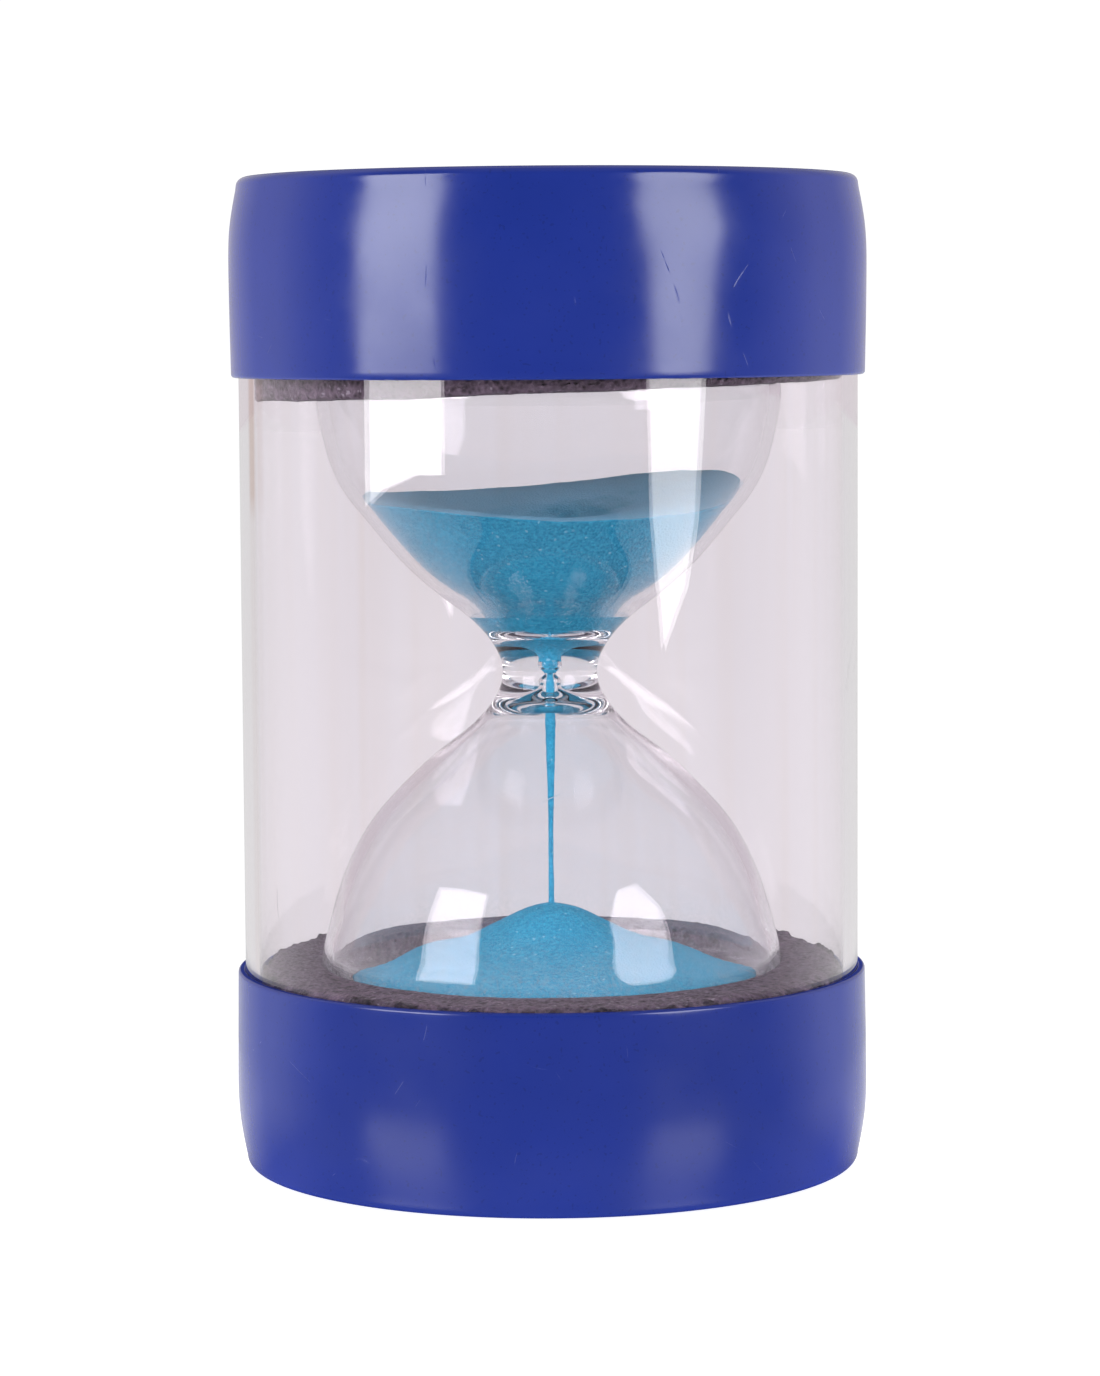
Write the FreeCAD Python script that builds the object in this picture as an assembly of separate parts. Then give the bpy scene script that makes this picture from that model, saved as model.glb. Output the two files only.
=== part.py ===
"""Large sand timer: a glass vial with sand, held in foam inside a clear tube with two vinyl caps.

Millimetres, +Z up. The origin is the centre of the base, so the timer stands on the plane z = 0.
Every round piece is a lathe about Z, drawn as an outline of radius r and height z.
"""
import FreeCAD, Part
import math
import os

# overall
HEIGHT = 140.0
NECK_Z = HEIGHT / 2

# caps: thin-walled cups with slightly barrelled sides
CAP_RADIUS = 45.0
CAP_HEIGHT = 28.0
CAP_FLOOR = 2.2
CAP_CORNER = 1.3
CAP_END_RADIUS = 43.8
CAP_SHOULDER = (44.78, 7.0)
CAP_OPEN_RADIUS = 44.8
CAP_LIP = 0.45
CAP_LEDGE_Z = 7.5
CAP_LEDGE_RADIUS = 42.9
CAP_FLOOR_RADIUS = 42.0

# clear tube
TUBE_RADIUS = 43.75
TUBE_WALL = 2.0
GLUE_GAP = 0.1

# foam packing
FOAM_CLEARANCE = 0.15
FOAM_RADIUS = TUBE_RADIUS - TUBE_WALL - FOAM_CLEARANCE
LOWER_FOAM_TOP = 28.9
LOWER_FOAM_TILT = 1.0
UPPER_FOAM_BOTTOM = 110.1
UPPER_FOAM_TILT = 1.9
FOAM_TRIM = 2.0  # spare height that the tilted cut takes off

# glass vial: each bulb flares out of the neck, then turns a rounded corner into a flat end
GLASS_WALL = 1.6
BULB_RADIUS = 32.7
BULB_CORNER = 5.0
BULB_CORNER_START = 41.0
BULB_END = BULB_CORNER_START + BULB_CORNER
CORNER_ANGLES = (6, 34, 62, 90)
# outlines as (radius, distance from the neck's middle)
NECK = (6.7, 0.0)
FLARE = [(8.4, 4.5), (11.7, 8.0), (15.6, 11.0), (21.6, 16.5), (26.2, 22.0)]
UPPER_BELLY = [(29.2, 25.9), (31.2, 30.2), (32.35, 34.8)]
LOWER_BELLY = [(28.9, 27.0), (30.8, 32.2), (32.15, 37.2)]
ORIFICE = (0.55, 0.0)
UPPER_BORE = [(1.05, 1.2), (1.1, 3.4), (2.0, 4.9), (4.2, 5.9), (7.0, 6.6), (10.2, 9.0)]
LOWER_BORE = [(1.05, 1.2), (1.1, 2.7), (2.4, 3.9), (5.0, 4.7), (7.6, 5.9), (9.8, 8.1)]

# sealing plug of the lower bulb's filling hole
STOPPER_RADIUS = 4.0
STOPPER_TIP_RADIUS = 3.6
STOPPER_LENGTH = 3.2
STOPPER_HEAD_RADIUS = 5.5
STOPPER_HEAD = 1.0

# sand
GRAIN_GAP = 0.04
UPPER_SAND_LEVEL = 94.7
UPPER_SAND_TILT = 2.5
UPPER_SAND_TILT_TOWARDS = 55.0
CRATER_RADIUS = 15.0
CRATER_DEPTH = 4.0
HEAP = [(0.0, 36.8), (3.2, 36.2), (14.0, 31.2), (25.0, 27.7), (32.0, 25.2)]
STREAM = [(0.45, NECK_Z), (0.68, 66.0), (0.44, 52.0), (0.42, 36.5)]


def point(r, z):
    return FreeCAD.Vector(r, 0, z)


def line(start, end):
    return Part.LineSegment(point(*start), point(*end)).toShape()


def arc(centre, radius, from_degrees, to_degrees):
    """Quarter-turn or shorter arc; 0 degrees points outwards and 90 degrees up."""
    middle = (from_degrees + to_degrees) / 2
    places = [
        point(
            centre[0] + radius * math.cos(math.radians(angle)),
            centre[1] + radius * math.sin(math.radians(angle)),
        )
        for angle in (from_degrees, middle, to_degrees)
    ]
    return Part.Arc(*places).toShape()


def curve(places):
    spline = Part.BSplineCurve()
    spline.interpolate([point(*place) for place in places])
    return spline.toShape()


def lathe(edges):
    face = Part.Face(Part.Wire(edges))
    solid = face.revolve(FreeCAD.Vector(0, 0, 0), FreeCAD.Vector(0, 0, 1), 360)
    if solid.Volume < 0:
        solid.reverse()
    return solid


def upside_down(shape):
    """Mirror image in the plane through the middle of the neck."""
    return shape.mirror(FreeCAD.Vector(0, 0, NECK_Z), FreeCAD.Vector(0, 0, 1))


def tilted(shape, degrees, about, height):
    """Shape turned a little about a level line through the axis at the given height."""
    turned = shape.copy()
    turned.rotate(FreeCAD.Vector(0, 0, height), about, degrees)
    return turned


def cap():
    """The bottom cap: flat end, rounded corner, barrelled wall, thin lip and a ledge for the tube."""
    inner = TUBE_RADIUS + GLUE_GAP
    flat = CAP_END_RADIUS - CAP_CORNER
    lip_z = CAP_HEIGHT - CAP_LIP
    side = [
        (CAP_END_RADIUS, CAP_CORNER),
        CAP_SHOULDER,
        (CAP_RADIUS, CAP_HEIGHT / 2),
        (CAP_OPEN_RADIUS, lip_z),
    ]
    return lathe([
        line((0, 0), (flat, 0)),
        arc((flat, CAP_CORNER), CAP_CORNER, -90, 0),
        curve(side),
        arc((CAP_OPEN_RADIUS - CAP_LIP, lip_z), CAP_LIP, 0, 90),
        line((CAP_OPEN_RADIUS - CAP_LIP, CAP_HEIGHT), (inner, CAP_HEIGHT)),
        line((inner, CAP_HEIGHT), (inner, CAP_LEDGE_Z)),
        line((inner, CAP_LEDGE_Z), (CAP_LEDGE_RADIUS, CAP_LEDGE_Z)),
        line((CAP_LEDGE_RADIUS, CAP_LEDGE_Z), (CAP_FLOOR_RADIUS, CAP_FLOOR)),
        line((CAP_FLOOR_RADIUS, CAP_FLOOR), (0, CAP_FLOOR)),
        line((0, CAP_FLOOR), (0, 0)),
    ])


def tube():
    length = HEIGHT - 2 * CAP_LEDGE_Z
    foot = FreeCAD.Vector(0, 0, CAP_LEDGE_Z)
    outside = Part.makeCylinder(TUBE_RADIUS, length, foot)
    return outside.cut(Part.makeCylinder(TUBE_RADIUS - TUBE_WALL, length, foot))


def from_neck(places, up):
    """Outline points given from the neck's middle, as radius and height."""
    return [(r, NECK_Z + up * h) for r, h in places]


def inside_wall(places, wall):
    """The middle points of an outline, moved in by the wall's thickness."""
    moved = []
    for before, here, after in zip(places, places[1:], places[2:]):
        run = (after[0] - before[0], after[1] - before[1])
        step = wall / math.hypot(*run)
        moved.append((here[0] - run[1] * step, here[1] + run[0] * step))
    return moved


def corner_points(wall):
    """Points round a bulb's corner, from its widest place to its flat end."""
    radius = BULB_CORNER - wall
    return [
        (
            BULB_RADIUS - BULB_CORNER + radius * math.cos(math.radians(angle)),
            BULB_CORNER_START + radius * math.sin(math.radians(angle)),
        )
        for angle in CORNER_ANGLES
    ]


def bulb_points(belly, bore, wall):
    """One bulb's outline beyond the neck's middle: its outside at wall 0, else its hollow."""
    outside = FLARE + belly
    if not wall:
        return outside + corner_points(0)
    beyond = outside[1:] + corner_points(0)[:1]
    return bore + inside_wall(beyond, wall) + corner_points(wall)


def vial_solid(wall):
    """The whole vial as one lathe: its outside at wall 0, else the space inside that wall."""
    middle = ORIFICE if wall else NECK
    upper = bulb_points(UPPER_BELLY, UPPER_BORE, wall)
    lower = bulb_points(LOWER_BELLY, LOWER_BORE, wall)
    side = from_neck(lower[::-1], -1) + from_neck([middle] + upper, 1)
    low, high = side[0], side[-1]
    return lathe([
        line((0, low[1]), low),
        curve(side),
        line(high, (0, high[1])),
        line((0, high[1]), (0, low[1])),
    ])


def stopper():
    """Tapered plug with a flat head under the lower bulb."""
    end_z = NECK_Z - BULB_END
    tip_z = end_z + STOPPER_LENGTH
    head_z = end_z - STOPPER_HEAD
    return lathe([
        line((0, head_z), (STOPPER_HEAD_RADIUS, head_z)),
        line((STOPPER_HEAD_RADIUS, head_z), (STOPPER_HEAD_RADIUS, end_z)),
        line((STOPPER_HEAD_RADIUS, end_z), (STOPPER_RADIUS, end_z)),
        line((STOPPER_RADIUS, end_z), (STOPPER_TIP_RADIUS, tip_z)),
        line((STOPPER_TIP_RADIUS, tip_z), (0, tip_z)),
        line((0, tip_z), (0, head_z)),
    ])


def foam_disc(bottom, top):
    return Part.makeCylinder(FOAM_RADIUS, top - bottom, FreeCAD.Vector(0, 0, bottom))


def half_space(height, above):
    """A block wider than the timer, above or below a level plane."""
    size = 2 * HEIGHT
    low = height if above else height - size
    return Part.makeBox(size, size, size, FreeCAD.Vector(-size / 2, -size / 2, low))


def lower_sand_space():
    """Everything under the heap's surface."""
    rim_r, rim_z = HEAP[-1]
    base_z = NECK_Z - BULB_END
    return lathe([
        curve(HEAP),
        line((rim_r, rim_z), (rim_r, base_z)),
        line((rim_r, base_z), (0, base_z)),
        line((0, base_z), (0, HEAP[0][1])),
    ])


def above_upper_sand():
    """Everything over the upper sand: a slightly tilted plane with a round dish sunk into it."""
    level = UPPER_SAND_LEVEL
    dish_radius = (CRATER_RADIUS**2 + CRATER_DEPTH**2) / (2 * CRATER_DEPTH)
    dish = Part.makeSphere(dish_radius, FreeCAD.Vector(0, 0, level - CRATER_DEPTH + dish_radius))
    towards = math.radians(UPPER_SAND_TILT_TOWARDS)
    across = FreeCAD.Vector(math.sin(towards), -math.cos(towards), 0)
    return tilted(half_space(level, True).fuse(dish), UPPER_SAND_TILT, across, level)


def stream():
    top_r, top_z = STREAM[0]
    end_r, end_z = STREAM[-1]
    return lathe([
        curve(STREAM),
        line((end_r, end_z), (0, end_z)),
        line((0, end_z), (0, top_z)),
        line((0, top_z), (top_r, top_z)),
    ])


def make_pieces():
    side_axis = FreeCAD.Vector(1, 0, 0)
    depth_axis = FreeCAD.Vector(0, 1, 0)
    end_low = NECK_Z - BULB_END
    end_high = NECK_Z + BULB_END

    bottom_cap = cap()
    plug = stopper()

    envelope = vial_solid(0)
    vial = envelope.cut(vial_solid(GLASS_WALL)).cut(plug)

    fill = vial_solid(GLASS_WALL + GRAIN_GAP)
    upper_sand = fill.common(half_space(NECK_Z, True)).cut(above_upper_sand())
    lower_sand = fill.common(lower_sand_space()).cut(plug)
    sand_stream = stream().cut(lower_sand)

    lower_top = tilted(half_space(LOWER_FOAM_TOP, True), LOWER_FOAM_TILT, side_axis, LOWER_FOAM_TOP)
    lower_ring = foam_disc(end_low, LOWER_FOAM_TOP + FOAM_TRIM).cut(lower_top).cut(envelope)
    lower_cushion = foam_disc(CAP_FLOOR, end_low).cut(plug)

    upper_bottom = tilted(
        half_space(UPPER_FOAM_BOTTOM, False), -UPPER_FOAM_TILT, depth_axis, UPPER_FOAM_BOTTOM
    )
    upper_ring = foam_disc(UPPER_FOAM_BOTTOM - FOAM_TRIM, end_high).cut(upper_bottom).cut(envelope)
    upper_cushion = foam_disc(end_high, HEIGHT - CAP_FLOOR)

    return {
        "bottom_cap": bottom_cap,
        "top_cap": upside_down(bottom_cap),
        "outer_tube": tube(),
        "lower_foam_cushion": lower_cushion,
        "lower_foam_ring": lower_ring,
        "upper_foam_cushion": upper_cushion,
        "upper_foam_ring": upper_ring,
        "glass_vial": vial,
        "fill_stopper": plug,
        "lower_sand": lower_sand,
        "upper_sand": upper_sand,
        "sand_stream": sand_stream,
    }


def main():
    os.makedirs("parts", exist_ok=True)
    for name, shape in make_pieces().items():
        if len(shape.Solids) == 1:
            shape = shape.Solids[0]
        print(f"{name}: {len(shape.Solids)} solid, valid {shape.isValid()}, {shape.Volume / 1000:.2f} cm3")
        shape.exportStep(f"parts/{name}.step")


main()
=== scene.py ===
"""A large sand timer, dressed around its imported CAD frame.

Outlines are drawn in millimetres as (radius, height) and turned about Z; meshes are in metres.
Angles run from +X (the viewer's right) over +Y (away from the viewer).
"""
import math

import bmesh
import bpy
import numpy as np
from mathutils import Matrix, Vector, noise


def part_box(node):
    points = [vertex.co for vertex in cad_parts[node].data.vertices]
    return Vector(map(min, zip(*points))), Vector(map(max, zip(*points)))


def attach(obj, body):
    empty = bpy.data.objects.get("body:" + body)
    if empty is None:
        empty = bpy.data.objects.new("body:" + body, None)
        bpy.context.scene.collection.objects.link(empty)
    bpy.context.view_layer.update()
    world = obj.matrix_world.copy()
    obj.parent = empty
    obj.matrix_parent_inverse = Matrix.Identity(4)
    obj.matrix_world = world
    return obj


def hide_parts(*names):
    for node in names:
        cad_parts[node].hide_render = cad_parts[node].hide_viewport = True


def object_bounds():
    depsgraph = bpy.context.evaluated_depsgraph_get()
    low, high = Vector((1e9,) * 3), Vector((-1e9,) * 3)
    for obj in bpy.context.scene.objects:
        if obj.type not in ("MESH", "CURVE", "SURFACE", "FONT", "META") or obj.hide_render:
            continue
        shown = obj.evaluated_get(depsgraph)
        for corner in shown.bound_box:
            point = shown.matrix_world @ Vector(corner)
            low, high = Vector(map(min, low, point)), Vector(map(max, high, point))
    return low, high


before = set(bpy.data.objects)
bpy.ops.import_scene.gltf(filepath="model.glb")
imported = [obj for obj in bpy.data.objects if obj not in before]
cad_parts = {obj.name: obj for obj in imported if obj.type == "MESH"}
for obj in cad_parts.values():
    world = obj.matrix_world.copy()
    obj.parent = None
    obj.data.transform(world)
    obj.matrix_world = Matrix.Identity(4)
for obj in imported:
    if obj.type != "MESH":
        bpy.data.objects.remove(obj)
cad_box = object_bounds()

MM = 0.001
TINY = 1e-4  # millimetres; points nearer than this are one point
RING_POINTS = 256
FINE_RING_POINTS = 720
CUSHION_RING_POINTS = 180
STREAM_RING_POINTS = 32


# ---------------------------------------------------------------- sizes from the frame

def span(node):
    """A node's half width, lowest and highest height, in millimetres."""
    low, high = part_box(node)
    return (high[0] - low[0]) / 2 / MM, low[2] / MM, high[2] / MM


CAP_RADIUS, BASE_Z, CAP_TOP = span("bottom_cap")
TOP_Z = span("top_cap")[2]
TUBE_RADIUS, TUBE_LOW, TUBE_HIGH = span("outer_tube")
BULB_RADIUS, VIAL_LOW, VIAL_HIGH = span("glass_vial")
FOAM_RADIUS, CUSHION_LOW, CUSHION_HIGH = span("lower_foam_cushion")
NECK_Z = (VIAL_LOW + VIAL_HIGH) / 2
BULB_END = VIAL_HIGH - NECK_Z

TUBE_WALL = 2.0
TUBE_EDGE = 0.15
GLUE_GAP = 0.1
GLASS_WALL = 1.6
GRAIN_GAP = 0.04
CONTACT_GAP = 0.05

# caps, as the bottom one stands; the top one is the same upside down
CAP_CORNER = 1.3
CAP_END_RADIUS = CAP_RADIUS - 1.2
CAP_OPEN_RADIUS = CAP_RADIUS - 0.2
CAP_SHOULDER = (CAP_RADIUS - 0.22, 7.0)
CAP_LIP = 0.45
CAP_INNER_LIP = 0.2
CAP_LEDGE_RADIUS = 42.9
CAP_FLOOR_RADIUS = 42.0
CAP_FLOOR = CUSHION_LOW
CAP_DISH = 0.35
CAP_DISH_MARGIN = 4
CAP_WAVE = 0.05
CAP_BROAD_WAVE = 26
CAP_SHORT_WAVE = 9

# glass vial, as (radius, distance from the neck's middle)
BULB_CORNER = 5.0
BULB_CORNER_START = BULB_END - BULB_CORNER
CORNER_ANGLES = (6, 34, 62, 90)
NECK = (6.7, 0.0)
FLARE = [(8.4, 4.5), (11.7, 8.0), (15.6, 11.0), (21.6, 16.5), (26.2, 22.0)]
UPPER_BELLY = [(29.2, 25.9), (31.2, 30.2), (32.35, 34.8)]
LOWER_BELLY = [(28.9, 27.0), (30.8, 32.2), (32.15, 37.2)]
ORIFICE = (0.55, 0.0)
UPPER_BORE = [(1.05, 1.2), (1.1, 3.4), (2.0, 4.9), (4.2, 5.9), (7.0, 6.6), (10.2, 9.0)]
LOWER_BORE = [(1.05, 1.2), (1.1, 2.7), (2.4, 3.9), (5.0, 4.7), (7.6, 5.9), (9.8, 8.1)]
STOPPER_RADIUS = 4.0
STOPPER_GAP = 0.15
GLASS_STEP = 0.16
NECK_REACH = 10  # within this distance of the neck's middle every point of the outline is kept
BULB_STRIDE = 4  # beyond it, one in so many
OUT_OF_ROUND = 0.0016

# foam
LOWER_FOAM_TOP = 28.9
LOWER_FOAM_SLOPE = 0.0175
UPPER_FOAM_BOTTOM = 110.1
UPPER_FOAM_SLOPE = 0.033
FOAM_RIM = 2.2
LOWER_RIM_DROP = 1.0
UPPER_RIM_DROP = 0.3
FOAM_EDGE = 0.3
FOAM_SIDE = 0.5
FOAM_SIDE_GAP = 0.12
CUT_SHARE = 0.85  # of a ring's depth; the torn cut face lies beyond it
CUSHION_EDGE = 0.4
CUSHION_SIDE_GAP = 0.1

# sand
HEAP = [
    (0.0, 36.9), (3.2, 36.2), (6.5, 34.7), (12.0, 31.9),
    (17.0, 30.2), (22.0, 28.8), (29.0, 26.1), (33.0, 24.6),
]
HEAP_STEP = 0.2
TERRACE = 0.5
TERRACE_RADIUS = 20.5
TERRACE_WIDTH = 4.5
TERRACE_TOWARDS = 3.0
HEAP_LEAN = 0.012
UPPER_LEVEL = 94.9
UPPER_CONTACT = 27.4
UPPER_LEAN = 1.22
UPPER_LEAN_TOWARDS = 55.4
SADDLE = 1.41
SADDLE_TURN = 49.4
SAND_POINTS = 360
SAND_TOP_ROWS = 80
LOWER_SIDE_ROWS = 60
UPPER_SIDE_ROWS = 140
LOWER_SAND_LIMIT = NECK_Z - 20
STREAM = [(0.45, NECK_Z), (0.68, 66.0), (0.44, 52.0), (0.42, 36.5)]
STREAM_STEP = 0.5
STREAM_SWAY = 0.05
STREAM_ROUGHNESS = 0.10

# seam of the clear tube: an upright line at the front left
SEAM_ANGLE = math.radians(69.7)
SEAM_PLACE = (-TUBE_RADIUS * MM * math.sin(SEAM_ANGLE), -TUBE_RADIUS * MM * math.cos(SEAM_ANGLE), 0)
SEAM_CORE = 0.8
SEAM_REACH = 1.9

# colours
VINYL_BLUES = (0.0105, 0.0275, 0.230), (0.0125, 0.0305, 0.250)
VINYL_SCRATCH = (0.10, 0.13, 0.42)
VINYL_DOT = (0.006, 0.012, 0.08)
PLASTIC_TINTS = (0.95, 0.917, 0.952), (0.935, 0.885, 0.90)
SEAM_TINT = (0.62, 0.42, 0.35)
PLASTIC_LAMPLIGHT = (0.96, 0.95, 0.96)
GLASS_TINT = (0.985, 0.990, 0.996)
GLASS_DUST = (0.42, 0.66, 0.72)
GLASS_LAMPLIGHT = (0.97, 0.98, 0.98)
FOAM_PORE = (0.008, 0.006, 0.009)
FOAM_WALL = (0.095, 0.068, 0.098)
FOAM_DUST = (0.20, 0.150, 0.205)
FOAM_HAZE = (0.075, 0.056, 0.072)
FOAM_SPECK = (0.30, 0.27, 0.32)
FOAM_PIT = (0.006, 0.005, 0.007)
# painted shade for the lower foam ring's outer rim, next to the tube
FOAM_RIM_PAINTED_SHADE = (0.004, 0.003, 0.004)
SAND_GRAINS = (0.008, 0.205, 0.345), (0.038, 0.345, 0.53)
SAND_PATCH = (0.018, 0.28, 0.47)
# painted light: paler colour for the upper sand's level top surface
SAND_PAINTED_TOP_LIGHT = (0.27, 0.60, 0.84)
SAND_SPARK = (0.6, 0.8, 0.9)
RUBBER_TONES = (0.50, 0.46, 0.40), (0.62, 0.58, 0.52)

# fine scratches, as (size of the curve, level, width, size of the patches)
VINYL_HAIRLINES = [(34, 0.50, 0.0012, 4.5), (23, 0.43, 0.0016, 5.5), (27, 0.57, 0.0014, 4)]
TUBE_HAIRLINES = (26, 0.47, 0.0010, 8)
HAIRLINE_PATCH = 0.60

# camera
CAMERA_DISTANCE = 0.596
CAMERA_HEIGHT = 0.1197
CAMERA_PITCH = 5.0
CAMERA_ROLL = -0.363
LENS = 109.8
SENSOR = 36

# studio: levels of light, where 1 is white, and the turns and distances (metres) between which they change
GLASS_BOUNCES = 32
WHITE = (1, 1, 1, 1)
WHITE_LEVEL = 1.05
REFLECTED_TINT = (1.0, 0.945, 0.975, 1)
THROUGH_LEVEL = 0.865
BACK_TURN = (-0.3, 0.3)
BACK_LEVELS = (0.06, 0.70)
TOP_TURN = (0.5, 1.0)
TOP_LEVEL = 0.35
DEEP_TURNS = 5.5  # passes through glass; beyond them the background is DEEP_LEVEL
DEEP_LEVEL = 0.62
FLOOR_HALF = 4.0
FLOOR_GAP = 0.00005
FLOOR_TONE = 0.16
FLOOR_LIFT = 0.95
FLOOR_THROUGH = 0.83
FLOOR_GLOW = 0.66
FLOOR_LIGHT = 1.8
FRONT_TURN = (-0.95, -0.45)
FRONT_SHARE = 0.35
NEAR_REACH = (0.06, 0.10)
NEAR_SHARE = 0.65
SHINE_REACH = (0.062, 0.115)

# softboxes: outlines as (across, height) in metres
SOFTBOX_DISTANCE = 0.9
LEFT_AZIMUTH = -53.5
LEFT_POWER = 6.7
LEFT_SOFTBOX = [(-0.25, 0.056), (-0.12, 0.063), (0.08, 0.068), (0.245, 0.067), (0.245, 0.66), (-0.25, 0.57)]
RIGHT_AZIMUTH = 47.5
RIGHT_POWER = 6.0
RIGHT_SOFTBOX = [
    (-0.095, 0.008), (0.05, 0.030), (0.118, 0.052), (0.19, 0.12), (0.26, 0.25),
    (0.24, 0.45), (0.08, 0.66), (-0.12, 0.66), (-0.25, 0.45), (-0.22, 0.20), (-0.165, 0.052),
]


# ---------------------------------------------------------------- outlines

def smooth(places, step):
    """Points about every step along a natural cubic spline through the given places."""
    places = np.array(places, float)
    gaps = np.hypot(*np.diff(places, axis=0).T)
    along = np.concatenate([[0.0], np.cumsum(gaps)])
    count = len(places)
    matrix = np.eye(count)
    right = np.zeros((count, 2))
    for i in range(1, count - 1):
        matrix[i, i - 1:i + 2] = gaps[i - 1], 2 * (gaps[i - 1] + gaps[i]), gaps[i]
        rise = (places[i + 1] - places[i]) / gaps[i]
        right[i] = 6 * (rise - (places[i] - places[i - 1]) / gaps[i - 1])
    bend = np.linalg.solve(matrix, right)
    where = np.linspace(0, along[-1], max(2, math.ceil(along[-1] / step) + 1))
    piece = np.clip(np.searchsorted(along, where) - 1, 0, count - 2)
    gap = gaps[piece]
    a = ((along[piece + 1] - where) / gap)[:, None]
    b = 1 - a
    curve = a * places[piece] + b * places[piece + 1]
    curve += ((a**3 - a) * bend[piece] + (b**3 - b) * bend[piece + 1]) * gap[:, None] ** 2 / 6
    return [tuple(place) for place in curve]


def straight(start, end, step):
    """Points about every step from start to end."""
    count = max(1, math.ceil(math.dist(start, end) / step))
    return [
        (start[0] + (end[0] - start[0]) * i / count, start[1] + (end[1] - start[1]) * i / count)
        for i in range(count + 1)
    ]


def arc(centre, radius, from_degrees, to_degrees, count=6):
    """Points round an arc; 0 degrees points outwards and 90 degrees up."""
    angles = [math.radians(from_degrees + (to_degrees - from_degrees) * i / count) for i in range(count + 1)]
    return [(centre[0] + radius * math.cos(a), centre[1] + radius * math.sin(a)) for a in angles]


def joined(*runs):
    """One outline from several, without the points that meet."""
    outline = []
    for run in runs:
        for place in run:
            if not outline or math.dist(place, outline[-1]) > TINY:
                outline.append(place)
    return outline


def mirrored(outline):
    """The outline upside down about the timer's middle."""
    return [(r, TOP_Z + BASE_Z - z) for r, z in outline]


# ---------------------------------------------------------------- meshes

def turn_angles(points):
    return [2 * math.pi * i / points for i in range(points)]


def still(x, y, z):
    return x, y, z


def lathe(name, outline, points=RING_POINTS, loop=False, shape=still):
    """A closed mesh turned from an outline. Its ends lie on the axis, or it is a loop off the axis."""
    verts, rings, faces = [], [], []
    angles = turn_angles(points)
    for r, z in outline:
        on_axis = r < TINY
        ring = []
        for angle in angles[:1] if on_axis else angles:
            ring.append(len(verts))
            verts.append(shape(r * math.cos(angle), r * math.sin(angle), z))
        rings.append(ring)
    pairs = list(zip(rings, rings[1:]))
    if loop:
        pairs.append((rings[-1], rings[0]))
    for lower, upper in pairs:
        for i in range(points):
            j = (i + 1) % points
            below = [lower[i % len(lower)], lower[j % len(lower)]]
            above = [upper[j % len(upper)], upper[i % len(upper)]]
            face = list(dict.fromkeys(below + above))
            if len(face) > 2:
                faces.append(face)
    return mesh_object(name, verts, faces)


def mesh_object(name, verts, faces):
    """An object in the scene from points in millimetres, smooth and with its faces turned outwards."""
    mesh = bpy.data.meshes.new(name)
    mesh.from_pydata([(x * MM, y * MM, z * MM) for x, y, z in verts], [], faces)
    form = bmesh.new()
    form.from_mesh(mesh)
    bmesh.ops.recalc_face_normals(form, faces=form.faces)
    form.to_mesh(mesh)
    form.free()
    mesh.shade_smooth()
    thing = bpy.data.objects.new(name, mesh)
    bpy.context.scene.collection.objects.link(thing)
    return thing


def wave(x, y, z, size, seed=0.0):
    """Smooth noise from -1 to 1 whose bumps are about size millimetres across."""
    return noise.noise(Vector((x / size + seed, y / size - seed, z / size + 2 * seed)))


def finish_piece(piece, material, slot, *nodes):
    """Material, body and the CAD nodes that the piece stands for; slot is not used."""
    piece.data.materials.clear()
    piece.data.materials.append(material)
    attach(piece, "root")
    if nodes:
        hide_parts(*nodes)


# ---------------------------------------------------------------- caps and tube

def cap_outline():
    inner = TUBE_RADIUS + GLUE_GAP
    flat = CAP_END_RADIUS - CAP_CORNER
    lip_z = CAP_TOP - CAP_LIP
    side = [(CAP_END_RADIUS, CAP_CORNER), CAP_SHOULDER, (CAP_RADIUS, CAP_TOP / 2), (CAP_OPEN_RADIUS, lip_z)]
    return joined(
        straight((0, 0), (flat, 0), 1.0),
        arc((flat, CAP_CORNER), CAP_CORNER, -90, 0, 8),
        smooth(side, 0.6),
        arc((CAP_OPEN_RADIUS - CAP_LIP, lip_z), CAP_LIP, 0, 90),
        arc((inner + CAP_INNER_LIP, CAP_TOP - CAP_INNER_LIP), CAP_INNER_LIP, 90, 180),
        straight((inner, CAP_TOP - CAP_INNER_LIP), (inner, TUBE_LOW), 2.0),
        straight((inner, TUBE_LOW), (CAP_LEDGE_RADIUS, TUBE_LOW), 1.0),
        straight((CAP_LEDGE_RADIUS, TUBE_LOW), (CAP_FLOOR_RADIUS, CAP_FLOOR), 2.0),
        straight((CAP_FLOOR_RADIUS, CAP_FLOOR), (0, CAP_FLOOR), 4.0),
    )


def moulded(seed, closed_z, open_way):
    """Soft vinyl's slight waviness, and the shallow dish of the closed end."""
    def shape(x, y, z):
        radius = math.hypot(x, y)
        if radius > TUBE_RADIUS + GLUE_GAP + 0.01:
            broad = wave(x, y, z, CAP_BROAD_WAVE, seed)
            short = wave(x, y, z, CAP_SHORT_WAVE, seed)
            swell = CAP_WAVE * (broad - 0.6 + 0.35 * short)
            x, y = x * (1 + swell / radius), y * (1 + swell / radius)
        if abs(z - closed_z) < 0.01:
            inwards = max(0.0, 1 - radius / (CAP_END_RADIUS - CAP_DISH_MARGIN))
            z += open_way * CAP_DISH * inwards**0.5 * min(1, inwards * 6)
        return x, y, z
    return shape


def make_caps():
    bottom = lathe("bottom_cap_vinyl", cap_outline(), shape=moulded(3.1, BASE_Z, 1))
    top = lathe("top_cap_vinyl", mirrored(cap_outline()), shape=moulded(7.7, TOP_Z, -1))
    return bottom, top


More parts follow.
